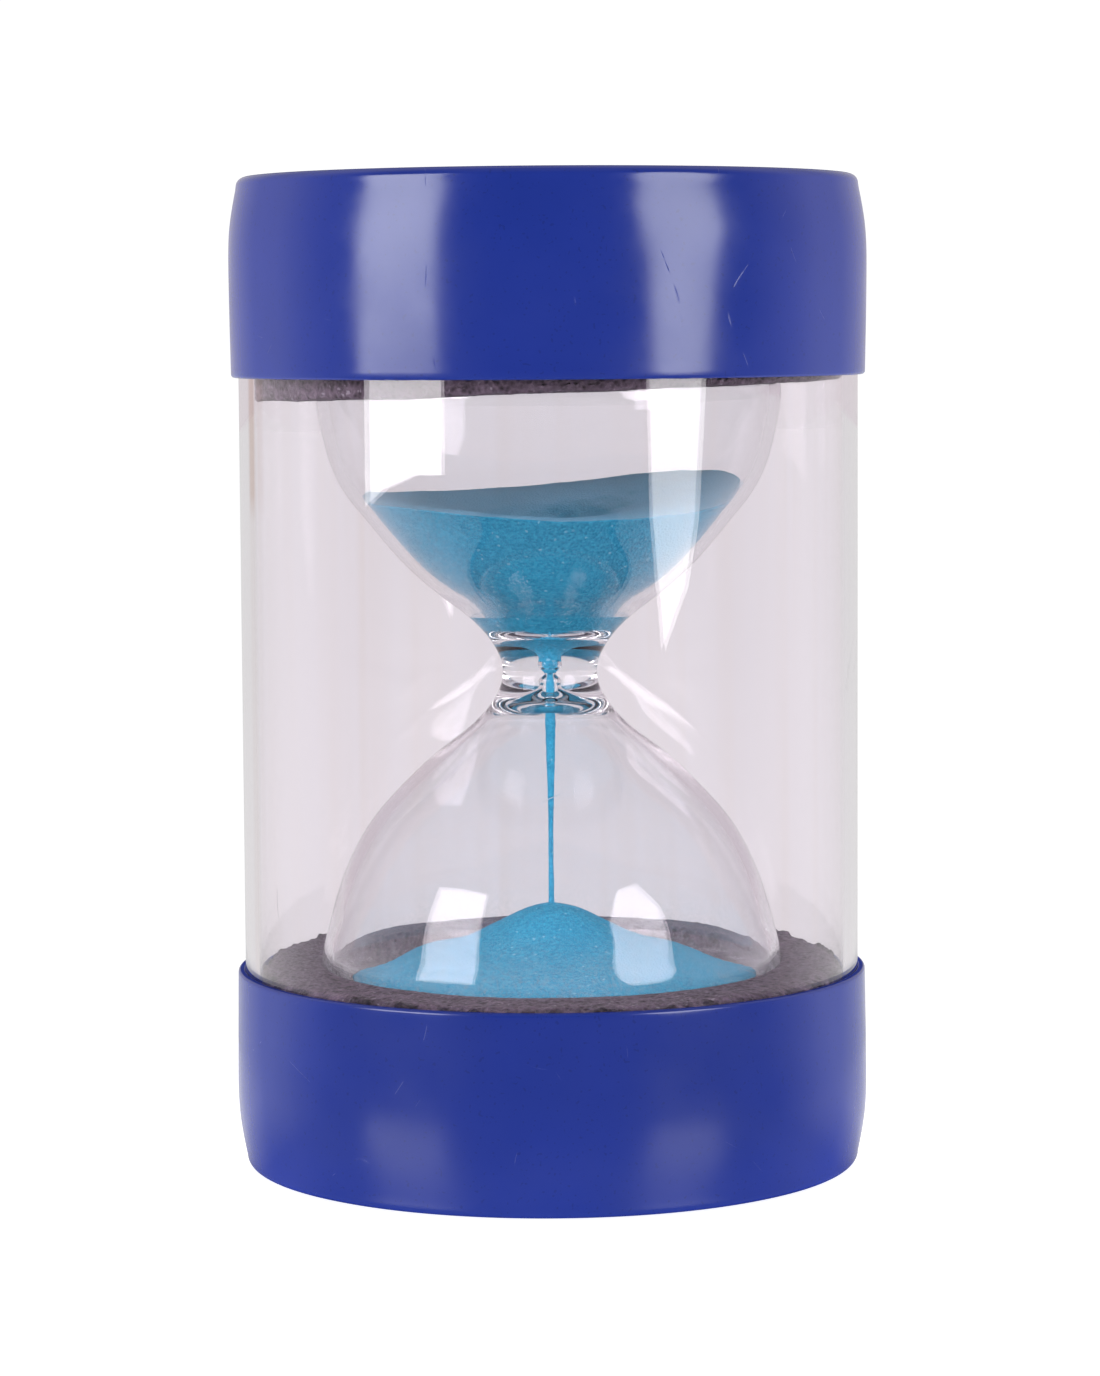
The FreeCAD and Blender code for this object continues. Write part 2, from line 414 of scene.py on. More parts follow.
def tube_outline():
    inner = TUBE_RADIUS - TUBE_WALL
    return joined(
        straight((inner, TUBE_LOW + TUBE_EDGE), (inner, TUBE_HIGH - TUBE_EDGE), 2.0),
        [(inner + TUBE_EDGE, TUBE_HIGH), (TUBE_RADIUS - TUBE_EDGE, TUBE_HIGH)],
        straight((TUBE_RADIUS, TUBE_HIGH - TUBE_EDGE), (TUBE_RADIUS, TUBE_LOW + TUBE_EDGE), 2.0),
        [(TUBE_RADIUS - TUBE_EDGE, TUBE_LOW), (inner + TUBE_EDGE, TUBE_LOW)],
    )


def make_tube():
    return lathe("clear_tube", tube_outline(), FINE_RING_POINTS, loop=True)


# ---------------------------------------------------------------- vial

def inside_wall(places, wall):
    """The middle points of an outline, moved in by the wall's thickness."""
    moved = []
    for before, here, after in zip(places, places[1:], places[2:]):
        run = (after[0] - before[0], after[1] - before[1])
        step = wall / math.hypot(*run)
        moved.append((here[0] - run[1] * step, here[1] + run[0] * step))
    return moved


def corner_points(wall):
    """Points round a bulb's corner, from its widest place to its flat end."""
    centre = (BULB_RADIUS - BULB_CORNER, BULB_CORNER_START)
    radius = BULB_CORNER - wall
    return [arc(centre, radius, angle, angle, 1)[0] for angle in CORNER_ANGLES]


def bulb_points(belly, bore, wall):
    """One bulb's outline beyond the neck's middle: its outside at wall 0, else its hollow."""
    outside = FLARE + belly
    if not wall:
        return outside + corner_points(0)
    beyond = outside[1:] + corner_points(0)[:1]
    return bore + inside_wall(beyond, wall) + corner_points(wall)


def vial_side(wall):
    """The vial's side from the lower end to the upper one, outside at wall 0, else that far in."""
    middle = ORIFICE if wall else NECK
    lower = [(r, NECK_Z - h) for r, h in bulb_points(LOWER_BELLY, LOWER_BORE, wall)]
    upper = [(r, NECK_Z + h) for r, h in bulb_points(UPPER_BELLY, UPPER_BORE, wall)]
    fine = smooth(lower[::-1] + [(middle[0], NECK_Z)] + upper, GLASS_STEP)
    kept = []
    for i, place in enumerate(fine):
        in_neck = abs(place[1] - NECK_Z) < NECK_REACH
        if in_neck or i % BULB_STRIDE == 0 or place == fine[-1]:
            kept.append(place)
    return kept


def blown(x, y, z):
    """Hand-blown glass is a little out of round."""
    swell = OUT_OF_ROUND * math.cos(2 * math.atan2(y, x) + 0.9 + 0.02 * z)
    return x * (1 + swell), y * (1 - swell), z


def make_vial():
    outside = vial_side(0)
    inside = vial_side(GLASS_WALL)
    low, high = outside[0], outside[-1]
    in_low, in_high = inside[0], inside[-1]
    outline = joined(
        straight((STOPPER_RADIUS, low[1]), low, 2.0),
        outside,
        straight(high, (0, high[1]), 2.0),
    ) + joined(
        straight((0, in_high[1]), in_high, 2.0),
        inside[::-1],
        straight(in_low, (STOPPER_RADIUS - STOPPER_GAP, in_low[1]), 2.0),
    )
    return lathe("blown_glass_vial", outline, loop=True, shape=blown)


# ---------------------------------------------------------------- foam

def foam_cells(x, y, z, seed):
    """Height of a torn, cellular cut face, in millimetres."""
    lumps = 0.22 * wave(x, y, z, 11, seed) + 0.10 * wave(x, y, z, 3.2, seed)
    cells = 0.09 * wave(x, y, z, 0.9, seed) + 0.07 * wave(x, y, z, 0.45, seed)
    return lumps + cells


def crumbled_rim(x, y, z, radius, drop, seed):
    """How far the cut face falls away near the tube, in millimetres."""
    near = max(0.0, (radius - FOAM_RADIUS) / FOAM_RIM + 1)
    tears = 0.8 + 1.4 * wave(x, y, z, 4.5, seed + 3) + 1.1 * wave(x, y, z, 1.5, seed + 7)
    return near**2 * drop * max(-0.2, tears)


def rough_side(x, y, z, seed):
    """How far the foam's side stands in from the tube, in millimetres."""
    nick = 0.10 * wave(x, y, z, 1.1, seed + 5) + 0.22 * max(0.0, wave(x, y, z, 4.0, seed + 9))
    return FOAM_SIDE_GAP + nick


def make_foam_ring(name, base_z, cut_z, slope_x, slope_y, rim_drop, seed):
    """A foam ring round a bulb's corner: flat at base_z, its free face cut slightly askew at cut_z."""
    up = 1 if cut_z > base_z else -1
    corner = (BULB_RADIUS - BULB_CORNER, base_z + up * BULB_CORNER)
    hug = BULB_CORNER + CONTACT_GAP
    depth = abs(cut_z - base_z)
    reach = math.degrees(math.asin(min(1, (depth - BULB_CORNER) / hug)))
    rim = corner[0] + hug * math.cos(math.radians(reach))
    outline = joined(
        arc(corner, hug, -90 * up, up * reach, 16),
        straight((rim + FOAM_EDGE, cut_z), (FOAM_RADIUS - FOAM_EDGE, cut_z), 0.4),
        straight((FOAM_RADIUS, cut_z - up * FOAM_EDGE), (FOAM_RADIUS, base_z), 0.45),
        straight((FOAM_RADIUS, base_z), (corner[0], base_z), 1.5),
    )

    def shape(x, y, z):
        radius = math.hypot(x, y)
        share = min(1.0, abs(z - base_z) / depth)
        z += share * (slope_x * x + slope_y * y)
        if share > CUT_SHARE:
            z += foam_cells(x, y, z, seed) * min(1.0, (radius - rim) / 0.8 + 0.35)
            z -= up * crumbled_rim(x, y, z, radius, rim_drop, seed)
        if radius > FOAM_RADIUS - FOAM_SIDE:
            shrink = 1 - rough_side(x, y, z, seed) / radius
            x, y = x * shrink, y * shrink
        return x, y, z

    return lathe(name, outline, FINE_RING_POINTS, loop=True, shape=shape)


def make_cushion(name, low, high, seed):
    """A plain foam disc behind a bulb's end."""
    side = FOAM_RADIUS - CUSHION_SIDE_GAP
    outline = joined(
        straight((0, low), (FOAM_RADIUS - CUSHION_EDGE, low), 2.0),
        straight((side, low + CUSHION_EDGE), (side, high - CUSHION_EDGE), 1.0),
        straight((FOAM_RADIUS - CUSHION_EDGE, high), (0, high), 1.0),
    )

    def shape(x, y, z):
        if math.hypot(x, y) < FOAM_RADIUS - FOAM_SIDE:
            inward = 1 if z < (low + high) / 2 else -1
            z += inward * (0.05 + 0.04 * wave(x, y, z, 1.5, seed))
        return x, y, z

    return lathe(name, outline, CUSHION_RING_POINTS, shape=shape)


# ---------------------------------------------------------------- sand

HEAP_LINE = smooth(HEAP, HEAP_STEP)


def heap_height(x, y):
    """The lower sand's surface: a heap with a slight terrace on its left side."""
    radius = math.hypot(x, y)
    height = float(np.interp(radius, [r for r, _ in HEAP_LINE], [z for _, z in HEAP_LINE]))
    round_terrace = math.exp(-((radius - TERRACE_RADIUS) / TERRACE_WIDTH) ** 2)
    terrace = TERRACE * round_terrace * max(0.0, math.cos(math.atan2(y, x) - TERRACE_TOWARDS)) ** 2
    lean = HEAP_LEAN * x * min(1, radius / 20)
    ripples = 0.16 * wave(x, y, 0, 6.5, 4.2) + 0.06 * wave(x, y, 0, 2.2, 1.3)
    return height + terrace + lean + ripples * min(1, radius / 6) + 0.02 * wave(x, y, 0, 0.7, 8.8)


def upper_height(x, y):
    """The upper sand's surface: higher at the back right, saddle-shaped, with a funnel in the middle."""
    reach = math.hypot(x, y) / UPPER_CONTACT
    angle = math.degrees(math.atan2(y, x))
    lean = UPPER_LEAN * reach * math.cos(math.radians(angle - UPPER_LEAN_TOWARDS))
    saddle = SADDLE * reach**2 * math.cos(math.radians(2 * angle - SADDLE_TURN))
    funnel = 3.6 * math.exp(-(reach / 0.34) ** 2) + 1.2 * math.exp(-(reach / 0.7) ** 4)
    ripples = 0.2 * wave(x, y, 0, 7, 2.4) + 0.07 * wave(x, y, 0, 2.4, 6.1)
    return UPPER_LEVEL + lean + saddle - funnel + ripples + 0.02 * wave(x, y, 0, 0.7, 3.7)


def contact(angle, surface, profile):
    """Where the free surface meets the glass at this angle: radius and height."""
    radii, heights = np.array(profile).T
    rise = [surface(r * math.cos(angle), r * math.sin(angle)) for r in radii]
    over = heights - np.array(rise)
    cross = np.argmax(over > 0)
    if cross == 0:
        return radii[-1], heights[-1]
    share = over[cross - 1] / (over[cross - 1] - over[cross])
    return (
        radii[cross - 1] + share * (radii[cross] - radii[cross - 1]),
        heights[cross - 1] + share * (heights[cross] - heights[cross - 1]),
    )


def sand_side(profile, contacts, rows):
    """Points up the glass, ring by ring, from the lowest place to the free surface."""
    radii, heights = np.array(profile).T
    lengths = np.concatenate([[0], np.cumsum([math.dist(a, b) for a, b in zip(profile, profile[1:])])])
    ends = np.interp([z for _, z in contacts], heights + np.arange(len(heights)) * 1e-9, lengths)
    places = []
    for row in range(rows + 1):
        for angle, end in zip(turn_angles(SAND_POINTS), ends):
            along = end * row / rows
            r = float(np.interp(along, lengths, radii))
            z = float(np.interp(along, lengths, heights))
            places.append(blown(r * math.cos(angle), r * math.sin(angle), z))
    return places


def sand_top(surface, contacts):
    """Points across the free surface, ring by ring, from the glass inwards."""
    places = []
    for row in range(1, SAND_TOP_ROWS):
        for angle, (radius, _) in zip(turn_angles(SAND_POINTS), contacts):
            r = radius * (1 - row / SAND_TOP_ROWS)
            x, y, _ = blown(r * math.cos(angle), r * math.sin(angle), 0)
            places.append((x, y, surface(x, y)))
    return places


def sand_mesh(name, profile, surface, side_rows):
    """A closed body of sand. profile is the glass's inside from the lowest place up."""
    contacts = [contact(angle, surface, profile) for angle in turn_angles(SAND_POINTS)]
    verts = sand_side(profile, contacts, side_rows) + sand_top(surface, contacts)
    last = len(verts) - SAND_POINTS
    faces = []
    for start in range(0, last, SAND_POINTS):
        for i in range(SAND_POINTS):
            j = (i + 1) % SAND_POINTS
            faces.append((start + i, start + j, start + SAND_POINTS + j, start + SAND_POINTS + i))
    for start, height in ((0, profile[0][1]), (last, surface(0, 0))):
        centre = len(verts)
        verts.append((0, 0, height))
        faces.extend((start + i, start + (i + 1) % SAND_POINTS, centre) for i in range(SAND_POINTS))
    return mesh_object(name, verts, faces)


def make_sands():
    side = vial_side(GLASS_WALL + GRAIN_GAP)
    start = (STOPPER_RADIUS + 0.1, side[0][1])
    lower_side = joined([start], [place for place in side if place[1] < LOWER_SAND_LIMIT])
    upper_side = [place for place in side if place[1] >= NECK_Z]
    lower = sand_mesh("lower_sand_heap", lower_side, heap_height, LOWER_SIDE_ROWS)
    upper = sand_mesh("upper_sand_fill", upper_side, upper_height, UPPER_SIDE_ROWS)
    return lower, upper


def make_stream():
    line = smooth(STREAM, STREAM_STEP)
    outline = joined([(0, NECK_Z)], line, [(0, line[-1][1])])

    def shape(x, y, z):
        sway = STREAM_SWAY * wave(0, 0, z, 9, 1.7)
        rough = 1 + STREAM_ROUGHNESS * wave(x, y, z, 1.2, 3.3)
        return x * rough + sway, y * rough, z

    return lathe("falling_sand", outline, STREAM_RING_POINTS, shape=shape)


# ---------------------------------------------------------------- shader trees

class Nodes:
    """Short calls for building a shader tree."""

    def __init__(self, tree):
        self.tree = tree

    def feed(self, socket, value):
        if isinstance(value, bpy.types.NodeSocket):
            self.tree.links.new(value, socket)
        else:
            socket.default_value = value

    def add(self, kind, inputs=None, **settings):
        """Adds a node and gives back its outputs. An input is a socket to link or a plain value."""
        node = self.tree.nodes.new(kind)
        for key, value in settings.items():
            setattr(node, key, value)
        for key, value in (inputs or {}).items():
            self.feed(node.inputs[key], value)
        return node.outputs

    def math(self, operation, first, second=0.0):
        return self.add("ShaderNodeMath", {0: first, 1: second}, operation=operation)[0]

    def times(self, first, second):
        return self.math("MULTIPLY", first, second)

    def vector_math(self, operation, *vectors):
        return self.add("ShaderNodeVectorMath", dict(enumerate(vectors)), operation=operation)

    def parts(self, vector):
        """The X, Y and Z of a vector."""
        return self.add("ShaderNodeSeparateXYZ", {0: vector})

    def object_place(self):
        return self.add("ShaderNodeTexCoord")["Object"]

    def spread(self, value, from_low, from_high, to_low=0.0, to_high=1.0):
        """The value, stretched from one range to another and held inside it."""
        inputs = {
            "Value": value,
            "From Min": from_low,
            "From Max": from_high,
            "To Min": to_low,
            "To Max": to_high,
        }
        return self.add("ShaderNodeMapRange", inputs, clamp=True)["Result"]

    def blend(self, share, first, second):
        """A number between two numbers."""
        inputs = {"Factor": share, "A": first, "B": second}
        return self.add("ShaderNodeMix", inputs, data_type="FLOAT")["Result"]

    def mix(self, share, first, second):
        """A colour between two colours, each a socket or (red, green, blue)."""
        ends = [end if isinstance(end, bpy.types.NodeSocket) else (*end[:3], 1) for end in (first, second)]
        inputs = {"Factor": share, "A": ends[0], "B": ends[1]}
        return self.add("ShaderNodeMix", inputs, data_type="RGBA")["Result"]


class Recipe(Nodes):
    """One procedural material round a Principled shader; its sizes are in millimetres."""

    def __init__(self, name):
        self.material = bpy.data.materials.new(name)
        self.material.use_nodes = True
        super().__init__(self.material.node_tree)
        self.shader = self.tree.nodes["Principled BSDF"]
        self.output = self.tree.nodes["Material Output"]
        self.place = self.object_place()

    def set(self, **values):
        for key, value in values.items():
            self.feed(self.shader.inputs[key.replace("_", " ")], value)

    def noise(self, size, detail=2.0, roughness=0.5, place=None):
        """Noise whose bumps are about size millimetres across."""
        inputs = {
            "Vector": place or self.place,
            "Scale": 1 / (size * MM),
            "Detail": detail,
            "Roughness": roughness,
        }
        return self.add("ShaderNodeTexNoise", inputs)["Fac"]

    def cells(self, size):
        """Cells about size millimetres across: outputs Distance and Color."""
        return self.add("ShaderNodeTexVoronoi", {"Vector": self.place, "Scale": 1 / (size * MM)})

    def bump(self, height, distance, strength=1.0, under=None):
        inputs = {"Height": height, "Distance": distance * MM, "Strength": strength}
        if under is not None:
            inputs["Normal"] = under
        return self.add("ShaderNodeBump", inputs)["Normal"]

    def height(self):
        return self.parts(self.place)["Z"]

    def flat_place(self):
        """The place without its height."""
        return self.vector_math("MULTIPLY", self.place, (1, 1, 0))[0]

    def facing_up(self):
        """The upward part of the surface's normal."""
        return self.parts(self.add("ShaderNodeNewGeometry")["Normal"])["Z"]


class StudioNodes(Nodes):
    """A studio material's or the world's own tree, empty at first."""

    def __init__(self, owner):
        owner.use_nodes = True
        super().__init__(owner.node_tree)
        self.tree.nodes.clear()

    def ray(self, fact):
        return self.add("ShaderNodeLightPath")[fact]

    def straight_look(self):
        """1 for what the camera sees directly or straight through glass, 0 for reflections and light."""
        seen = self.math("MAXIMUM", self.ray("Is Camera Ray"), self.ray("Is Transmission Ray"))
        turns = self.math("ADD", self.ray("Glossy Depth"), self.ray("Diffuse Depth"))
        return self.times(seen, self.math("LESS_THAN", turns, 0.5))

    def deep_in_glass(self):
        """The background's level for rays that have passed through much glass, else 0."""
        return self.times(self.math("GREATER_THAN", self.ray("Transmission Depth"), DEEP_TURNS), DEEP_LEVEL)

    def backwards(self):
        """How far a place on the floor lies towards the back: 1 straight behind, -1 straight in front."""
        return self.parts(self.vector_math("NORMALIZE", self.object_place())[0])["Y"]

    def reach(self):
        """Distance from the timer's axis on the floor."""
        return self.vector_math("LENGTH", self.object_place())["Value"]


# ---------------------------------------------------------------- materials

def hairlines(recipe, size, level, width, patch_size):
    """Fine curved scratches: level lines of a broad noise, kept only in small patches."""
    off = recipe.math("ABSOLUTE", recipe.math("SUBTRACT", recipe.noise(size, 0.0), level))
    thin = recipe.spread(off, 0.0, width, 1.0, 0.0)
    patches = recipe.spread(recipe.noise(patch_size, 1.0), HAIRLINE_PATCH, HAIRLINE_PATCH + 0.06)
    return recipe.times(thin, patches)


def vinyl_gloss(recipe, end):
    """Less gloss in a band of slanted view, and next to none on the flat ends."""
    slant = recipe.add("ShaderNodeLayerWeight", {"Blend": 0.5})["Facing"]
    aside = recipe.math("ABSOLUTE", recipe.math("SUBTRACT", slant, 0.73))
    side_gloss = recipe.spread(aside, 0.12, 0.25, 0.24, 0.5)
    return recipe.times(side_gloss, recipe.spread(end, 0.0, 1.0, 1.0, 0.04))


def vinyl():
    recipe = Recipe("blue_vinyl")
    mottle = recipe.noise(0.8, 3.0, 0.6)
    scratches, *others = [hairlines(recipe, *family) for family in VINYL_HAIRLINES]
    for lines in others:
        scratches = recipe.math("MAXIMUM", scratches, lines)
    dots = recipe.spread(recipe.noise(0.45, 0.0), 0.73, 0.78)
    colour = recipe.mix(recipe.spread(recipe.noise(14, 3.0), 0.3, 0.7), *VINYL_BLUES)
    colour = recipe.mix(recipe.times(scratches, 0.18), colour, VINYL_SCRATCH)
    colour = recipe.mix(recipe.times(dots, 0.3), colour, VINYL_DOT)

    end = recipe.spread(recipe.math("ABSOLUTE", recipe.facing_up()), 0.85, 0.97)
    smudges = recipe.spread(recipe.noise(9, 2.0, 0.5), 0.35, 0.7, 0.165, 0.215)
    rough = recipe.math("ADD", smudges, recipe.times(recipe.math("SUBTRACT", mottle, 0.5), 0.08))
    rough = recipe.math("ADD", rough, recipe.times(scratches, 0.12))
    rough = recipe.math("ADD", rough, recipe.times(end, 0.35))
    gloss = vinyl_gloss(recipe, end)
    skin = recipe.bump(mottle, 0.008, 0.35)
    ripple = recipe.bump(recipe.noise(7, 1.0), 0.03, 0.3, skin)
    cut = recipe.bump(scratches, -0.03, 0.6, ripple)
    recipe.set(Base_Color=colour, Roughness=rough, IOR=1.56, Specular_IOR_Level=gloss, Normal=cut)
    return recipe.material


def let_lamps_through(recipe, tint):
    """Lamplight passes straight through: only the camera and reflections see the glass bend light."""
    clear = recipe.add("ShaderNodeBsdfTransparent", {"Color": (*tint, 1)})[0]
    lamp_ray = recipe.add("ShaderNodeLightPath")["Is Shadow Ray"]
    surface = recipe.add("ShaderNodeMixShader", {0: lamp_ray, 1: recipe.shader.outputs[0], 2: clear})[0]
    recipe.feed(recipe.output.inputs["Surface"], surface)


def tube_seam(recipe):
    """1 on the tube's seam, which is fainter lower down, and 0 elsewhere."""
    aside = recipe.vector_math("DISTANCE", recipe.flat_place(), SEAM_PLACE)["Value"]
    seam = recipe.spread(aside, SEAM_CORE * MM, SEAM_REACH * MM, 1.0, 0.0)
    return recipe.times(seam, recipe.spread(recipe.height(), 92 * MM, 96 * MM, 0.25, 1.0))


def clear_plastic():
    recipe = Recipe("clear_tube_plastic")
    streaks = recipe.add("ShaderNodeMapping", {"Vector": recipe.place, "Scale": (1, 1, 0.015)})[0]
    drawn = recipe.noise(5, 3.0, 0.6, place=streaks)
    tint = recipe.mix(recipe.spread(drawn, 0.5, 0.72), *PLASTIC_TINTS)
    tint = recipe.mix(tube_seam(recipe), tint, SEAM_TINT)
    scratches = hairlines(recipe, *TUBE_HAIRLINES)
    cut = recipe.bump(scratches, -0.01, 0.4, recipe.bump(drawn, 0.02, 0.2))
    recipe.set(Base_Color=tint, Roughness=0.0, IOR=1.46, Transmission_Weight=1.0, Normal=cut)
    let_lamps_through(recipe, PLASTIC_LAMPLIGHT)
    return recipe.material


def sand_dust(recipe):
    """Cover of the blue dust that clings to the glass just above the lower foam."""
    height = recipe.height()
    above = recipe.spread(height, 28 * MM, 37 * MM, 1.0, 0.0)
    near_foam = recipe.times(above, recipe.spread(height, 24.5 * MM, 26 * MM))
    specks = recipe.spread(recipe.noise(0.5, 2.0, 0.7), 0.45, 0.75, 0.1, 1.0)
    clouds = recipe.spread(recipe.noise(9, 2.0), 0.35, 0.65, 0.5, 1.0)
    return recipe.times(recipe.times(near_foam, specks), recipe.times(clouds, 0.19))


def blown_glass():
    recipe = Recipe("blown_glass")
    dust = sand_dust(recipe)
    tint = recipe.mix(dust, GLASS_TINT, GLASS_DUST)
    clear = recipe.math("SUBTRACT", 1.0, dust)
    waves = recipe.bump(recipe.noise(9, 1.0), 0.03, 0.2)
    recipe.set(Base_Color=tint, Roughness=0.0, IOR=1.5, Transmission_Weight=clear, Normal=waves)
    let_lamps_through(recipe, GLASS_LAMPLIGHT)
    return recipe.material


def painted_rim_shade(recipe):
    """Cover of painted shade along the lower ring's outer rim, where the foam meets the tube, broken up by
    noise.
    """
    reach = recipe.vector_math("LENGTH", recipe.flat_place())["Value"]
    torn = recipe.spread(reach, (FOAM_RADIUS - 1.3) * MM, (FOAM_RADIUS - 0.5) * MM, 0.0, 0.85)
    torn = recipe.times(torn, recipe.spread(recipe.noise(3.0, 3.0, 0.7), 0.38, 0.55))
    return recipe.times(torn, recipe.spread(recipe.height(), 40 * MM, 45 * MM, 1.0, 0.0))


def foam():
    recipe = Recipe("black_foam")
    cell = recipe.cells(0.75)["Distance"]
    pore = recipe.spread(cell, 0.1, 0.6)
    dust = recipe.spread(recipe.noise(1.6, 4.0, 0.75), 0.42, 0.66)
    haze = recipe.spread(recipe.noise(12, 2.0), 0.3, 0.7)
    speck = recipe.spread(recipe.noise(0.7, 1.0), 0.68, 0.74)
    pits = recipe.spread(recipe.noise(2.2, 2.0), 0.62, 0.70)
    colour = recipe.mix(pore, FOAM_PORE, FOAM_WALL)
    colour = recipe.mix(recipe.times(dust, 0.65), colour, FOAM_DUST)
    colour = recipe.mix(recipe.times(haze, 0.25), colour, FOAM_HAZE)
    colour = recipe.mix(recipe.times(speck, 0.6), colour, FOAM_SPECK)
    colour = recipe.mix(recipe.times(pits, 0.6), colour, FOAM_PIT)
    # painted shade: the lower ring's outer rim is darkened where it meets the tube
    colour = recipe.mix(painted_rim_shade(recipe), colour, FOAM_RIM_PAINTED_SHADE)
    normal = recipe.bump(cell, 0.4)
    recipe.set(Base_Color=colour, Roughness=0.9, IOR=1.3, Normal=normal)
    recipe.set(Sheen_Weight=0.06, Sheen_Roughness=0.6)
    return recipe.material


def sand():
    recipe = Recipe("blue_sand")
    grain = recipe.cells(0.34)
    chance = recipe.add("ShaderNodeSeparateColor", {"Color": grain["Color"]})
    patch = recipe.spread(recipe.noise(5, 3.0, 0.6), 0.35, 0.65)
    # painted light: the upper sand's level top, 84 to 90 mm high and facing up, is painted paler in place of
    # light falling on it
    level = recipe.spread(recipe.height(), 84 * MM, 90 * MM)
    level = recipe.times(level, recipe.spread(recipe.facing_up(), 0.9, 0.96))
    spark = recipe.times(recipe.spread(chance[1], 0.990, 0.994), 0.28)
    colour = recipe.mix(chance[0], *SAND_GRAINS)
    colour = recipe.mix(recipe.times(patch, 0.3), colour, SAND_PATCH)
    colour = recipe.mix(recipe.times(level, 0.9), colour, SAND_PAINTED_TOP_LIGHT)
    colour = recipe.mix(spark, colour, SAND_SPARK)
    normal = recipe.bump(grain["Distance"], 0.14, 0.8)
    recipe.set(Base_Color=colour, Roughness=0.7, IOR=1.33, Normal=normal)
    return recipe.material


def stopper_rubber():
    recipe = Recipe("stopper_rubber")
    tone = recipe.spread(recipe.noise(1.5, 3.0), 0.3, 0.7)
    colour = recipe.mix(tone, *RUBBER_TONES)
    normal = recipe.bump(recipe.noise(0.4, 2.0), 0.05, 0.4)
    recipe.set(Base_Color=colour, Roughness=0.7, Normal=normal)
    return recipe.material


# ---------------------------------------------------------------- the pieces

def make_shell():
    """The caps, the tube and the vial."""
    bottom_cap, top_cap = make_caps()
    cap_material = vinyl()
    finish_piece(bottom_cap, cap_material, "cap_vinyl", "bottom_cap")
    finish_piece(top_cap, cap_material, "cap_vinyl", "top_cap")
    finish_piece(make_tube(), clear_plastic(), "clear_tube", "outer_tube")
    finish_piece(make_vial(), blown_glass(), "vial_glass", "glass_vial")


def make_packing():
    """The four pieces of foam."""
    material = foam()
    lower_ring = make_foam_ring(
        "lower_foam_ring_cut", VIAL_LOW, LOWER_FOAM_TOP, 0, LOWER_FOAM_SLOPE, LOWER_RIM_DROP, 2.0)
    upper_ring = make_foam_ring(
        "upper_foam_ring_cut", VIAL_HIGH, UPPER_FOAM_BOTTOM, UPPER_FOAM_SLOPE, 0, UPPER_RIM_DROP, 6.0)
    lower_cushion = make_cushion("lower_foam_disc", CUSHION_LOW + CONTACT_GAP, CUSHION_HIGH, 1.0)
    upper_low, upper_high = span("upper_foam_cushion")[1:]
    upper_cushion = make_cushion("upper_foam_disc", upper_low, upper_high - CONTACT_GAP, 4.0)
    finish_piece(lower_ring, material, "black_foam", "lower_foam_ring")
    finish_piece(upper_ring, material, "black_foam", "upper_foam_ring")
    finish_piece(lower_cushion, material, "black_foam", "lower_foam_cushion")
    finish_piece(upper_cushion, material, "black_foam", "upper_foam_cushion")


def make_filling():
    """The sand at rest and the falling stream."""
    material = sand()
    lower_sand, upper_sand = make_sands()
    finish_piece(lower_sand, material, "blue_sand", "lower_sand")
    finish_piece(upper_sand, material, "blue_sand", "upper_sand")
    finish_piece(make_stream(), material, "blue_sand", "sand_stream")


def dress_stopper():
    """The stopper keeps its CAD shape and gets a material."""
    rubber = stopper_rubber()
    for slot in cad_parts["fill_stopper"].material_slots:
        slot.material = rubber


# ---------------------------------------------------------------- studio

def make_camera():
    pitch, roll = math.radians(CAMERA_PITCH), math.radians(CAMERA_ROLL)
    forward = Vector((0, math.cos(pitch), -math.sin(pitch)))
    level_up = Vector((0, math.sin(pitch), math.cos(pitch)))
    level_right = Vector((1, 0, 0))
    right = level_right * math.cos(roll) + level_up * math.sin(roll)
    up = level_up * math.cos(roll) - level_right * math.sin(roll)
    data = bpy.data.cameras.new("camera")
    data.lens = LENS
    data.sensor_width = SENSOR
    data.clip_start = 0.01
    camera = bpy.data.objects.new("camera", data)
    turn = Matrix((right, up, -forward)).transposed().to_4x4()
    camera.matrix_world = Matrix.Translation((0, -CAMERA_DISTANCE, CAMERA_HEIGHT)) @ turn
    bpy.context.scene.collection.objects.link(camera)
    bpy.context.scene.camera = camera


def facing_axis(azimuth, distance):
    """A matrix level with the timer's foot whose -Z looks at its axis; azimuth runs from front to right."""
    angle = math.radians(azimuth)
    place = Vector((distance * math.sin(angle), -distance * math.cos(angle), 0))
    look = (-place).to_track_quat("-Z", "Y")
    return Matrix.Translation(place) @ look.to_matrix().to_4x4()


def stage_mesh(name, corners, material):
    """A flat face of the studio, linked to the scene."""
    mesh = bpy.data.meshes.new(name)
    mesh.from_pydata(corners, [], [tuple(range(len(corners)))])
    mesh.materials.append(material)
    thing = bpy.data.objects.new(name, mesh)
    bpy.context.scene.collection.objects.link(thing)
    return thing


def softbox(name, azimuth, outline, power):
    """A glowing panel that shows only in reflections and by its light."""
    glow = bpy.data.materials.new(name)
    nodes = StudioNodes(glow)
    emission = nodes.add("ShaderNodeEmission", {"Strength": power})[0]
    clear = nodes.add("ShaderNodeBsdfTransparent")[0]
    seen = nodes.add("ShaderNodeMixShader", {0: nodes.straight_look(), 1: emission, 2: clear})[0]
    nodes.add("ShaderNodeOutputMaterial", {"Surface": seen})
    panel = stage_mesh(name, [(x, y, 0) for x, y in reversed(outline)], glow)
    panel.matrix_world = facing_axis(azimuth, SOFTBOX_DISTANCE)


def floor_light(nodes):
    """The floor as it lights the timer: less of it comes from straight in front."""
    far = nodes.spread(nodes.backwards(), *FRONT_TURN, FRONT_SHARE * FLOOR_LIGHT, FLOOR_LIGHT)
    near = nodes.spread(nodes.reach(), *NEAR_REACH, NEAR_SHARE * FLOOR_LIGHT, 0.0)
    return nodes.math("MAXIMUM", far, near)


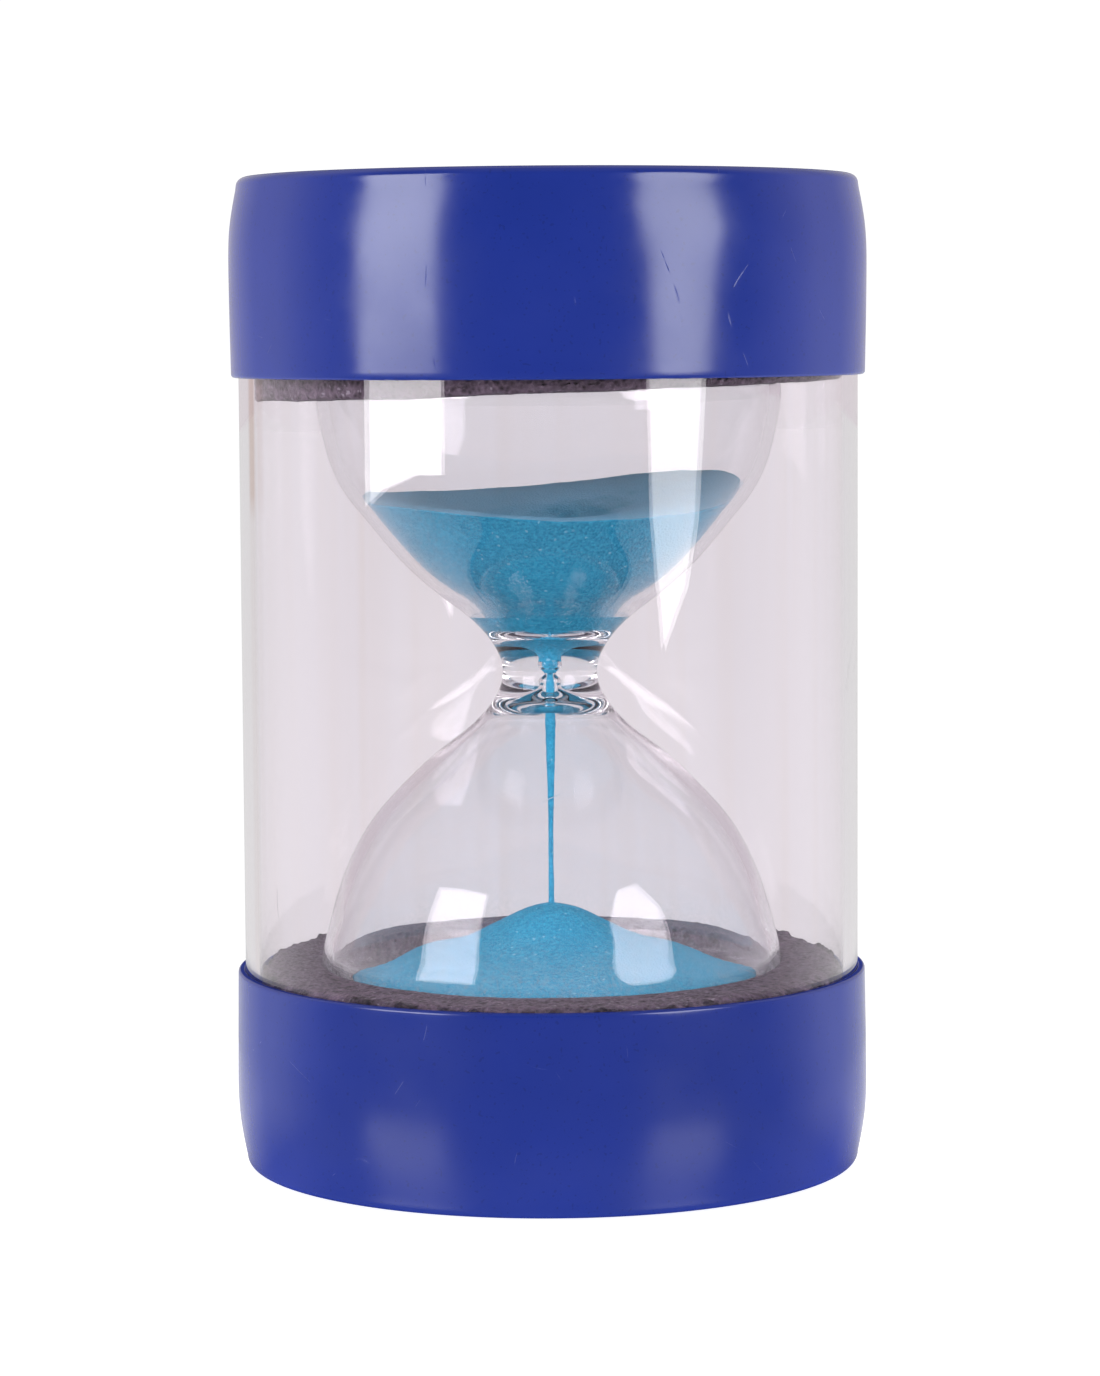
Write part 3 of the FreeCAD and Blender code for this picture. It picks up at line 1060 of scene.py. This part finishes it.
def floor_level(nodes):
    """The floor's own light: all but white to the eye, otherwise as reflections and the timer meet it."""
    glow = nodes.spread(nodes.backwards(), *BACK_TURN, 0.0, FLOOR_GLOW)
    scattered = nodes.math("GREATER_THAN", nodes.ray("Diffuse Depth"), 0.5)
    reflected = nodes.math("MAXIMUM", nodes.blend(scattered, glow, floor_light(nodes)), nodes.deep_in_glass())
    seen = nodes.blend(nodes.ray("Is Camera Ray"), FLOOR_THROUGH, FLOOR_LIFT)
    return nodes.blend(nodes.straight_look(), reflected, seen)


def floor_paper():
    paper = bpy.data.materials.new("floor_paper")
    nodes = StudioNodes(paper)
    shader = nodes.add("ShaderNodeBsdfPrincipled", {
        "Base Color": (FLOOR_TONE, FLOOR_TONE, FLOOR_TONE, 1),
        "Roughness": 0.36,
        "IOR": 2.0,
        "Specular IOR Level": nodes.spread(nodes.reach(), *SHINE_REACH, 1.0, 0.0),
        "Emission Color": WHITE,
        "Emission Strength": floor_level(nodes),
    })[0]
    nodes.add("ShaderNodeOutputMaterial", {"Surface": shader})
    paper.cycles.emission_sampling = "NONE"
    return paper


def make_floor():
    """A pale floor just under the timer, with a faint shadow on it."""
    half = FLOOR_HALF
    corners = [(-half, -half, 0), (half, -half, 0), (half, half, 0), (-half, half, 0)]
    floor = stage_mesh("floor", corners, floor_paper())
    floor.location.z = cad_box[0][2] - FLOOR_GAP


def make_world():
    """Plain white to the eye; in reflections and as light it is bright behind and dim in front."""
    world = bpy.data.worlds.new("studio")
    bpy.context.scene.world = world
    nodes = StudioNodes(world)
    direction = nodes.parts(nodes.add("ShaderNodeTexCoord")["Generated"])
    behind = nodes.spread(direction["Y"], *BACK_TURN, *BACK_LEVELS)
    above = nodes.spread(direction["Z"], *TOP_TURN, 0.0, TOP_LEVEL)
    studio = nodes.math("MAXIMUM", nodes.math("MAXIMUM", behind, above), nodes.deep_in_glass())
    backdrop = nodes.blend(nodes.ray("Is Camera Ray"), THROUGH_LEVEL, WHITE_LEVEL)
    straight_look = nodes.straight_look()
    level = nodes.blend(straight_look, studio, backdrop)
    tint = nodes.mix(straight_look, REFLECTED_TINT, WHITE)
    background = nodes.add("ShaderNodeBackground", {"Color": tint, "Strength": level})[0]
    nodes.add("ShaderNodeOutputWorld", {"Surface": background})


def make_studio():
    make_camera()
    make_world()
    make_floor()
    softbox("left_softbox", LEFT_AZIMUTH, LEFT_SOFTBOX, LEFT_POWER)
    softbox("right_softbox", RIGHT_AZIMUTH, RIGHT_SOFTBOX, RIGHT_POWER)
    scene = bpy.context.scene
    scene.view_settings.view_transform = "Standard"
    scene.cycles.max_bounces = GLASS_BOUNCES
    scene.cycles.transmission_bounces = GLASS_BOUNCES
    scene.cycles.glossy_bounces = GLASS_BOUNCES


make_shell()
make_packing()
make_filling()
dress_stopper()
make_studio()
